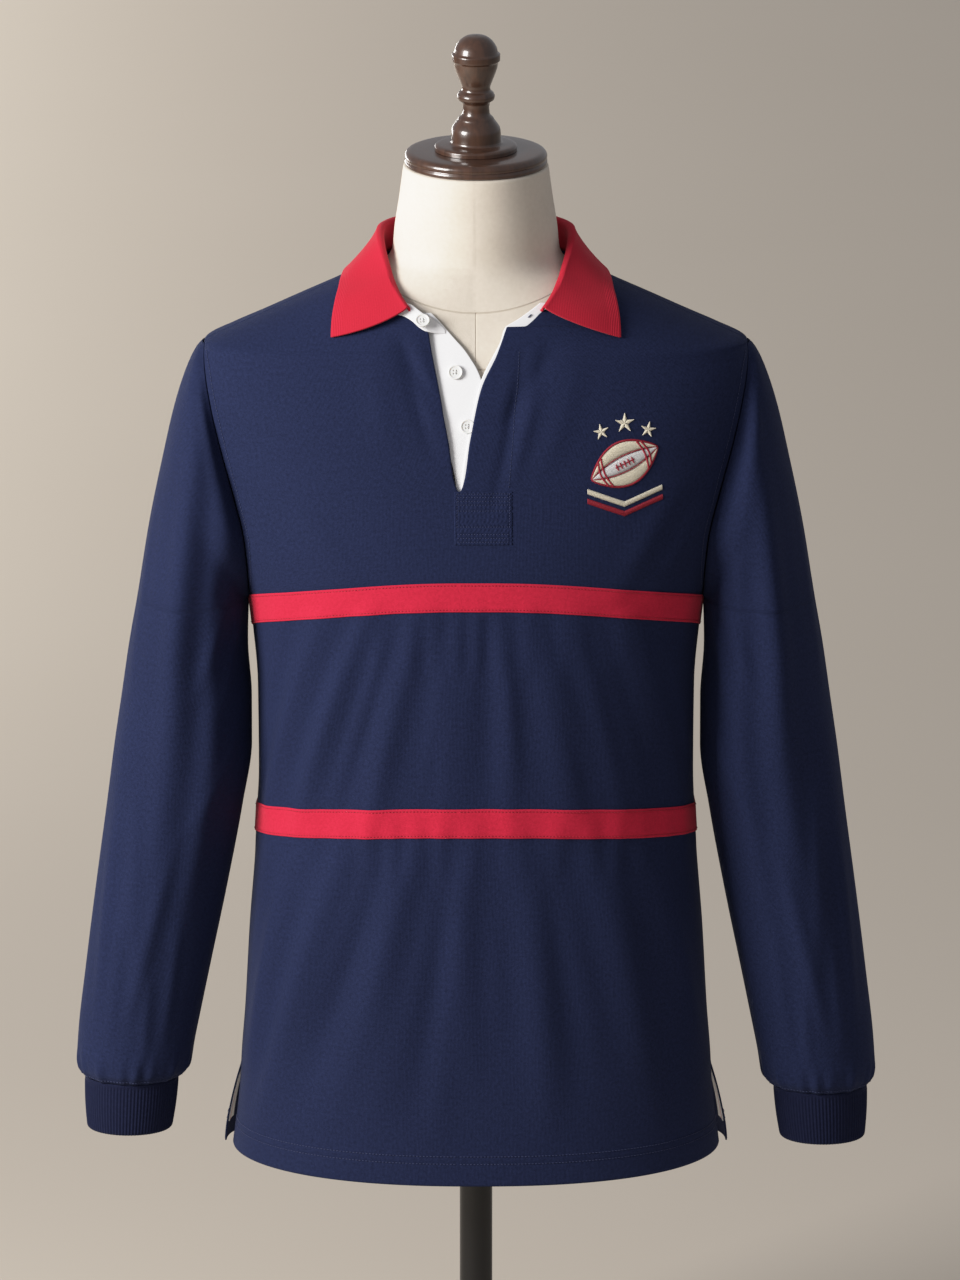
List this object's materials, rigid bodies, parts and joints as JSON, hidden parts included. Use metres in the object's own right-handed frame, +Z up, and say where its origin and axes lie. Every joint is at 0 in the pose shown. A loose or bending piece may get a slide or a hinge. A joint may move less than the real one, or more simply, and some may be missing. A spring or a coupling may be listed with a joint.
{
  "type": "rugby shirt on a dress form",
  "caption": "Long-sleeved rugby shirt with contrasting collar, chest bands, short placket and ribbed cuffs, worn by a limbless dress form on a pole and round base.",
  "frame": {"origin": "middle of the underside of the base plate, on the pole's axis", "axes": "+Z up along the pole, -Y the way the shirt's front faces, +X towards the wearer's left"},
  "size_m": [0.684, 0.38, 1.2704],
  "materials": {
    "navy_jersey": "matt cotton jersey",
    "navy_rib": "matt cotton rib knit",
    "red_rib": "matt cotton rib knit",
    "red_band": "matt cotton jersey",
    "white_twill": "matt cotton twill",
    "button": "satin",
    "linen": "matt linen",
    "walnut": "gloss lacquer",
    "black_metal": "satin"
  },
  "bodies": {
    "root": {"front": "navy_jersey", "back": "navy_jersey", "sleeve_left": "navy_jersey", "sleeve_right": "navy_jersey", "cuff_left": "navy_rib", "cuff_right": "navy_rib", "collar": "red_rib", "chest_band_front": "red_band", "chest_band_back": "red_band", "waist_band_front": "red_band", "waist_band_back": "red_band", "button_stand": "white_twill", "placket_facing": "white_twill", "vent_tape_left": "white_twill", "vent_tape_right": "white_twill", "button_1": "button", "button_2": "button", "form": "linen", "neck_cap": "walnut", "finial": "walnut", "pole": "black_metal", "base_plate": "black_metal"}
  },
  "joints": []
}
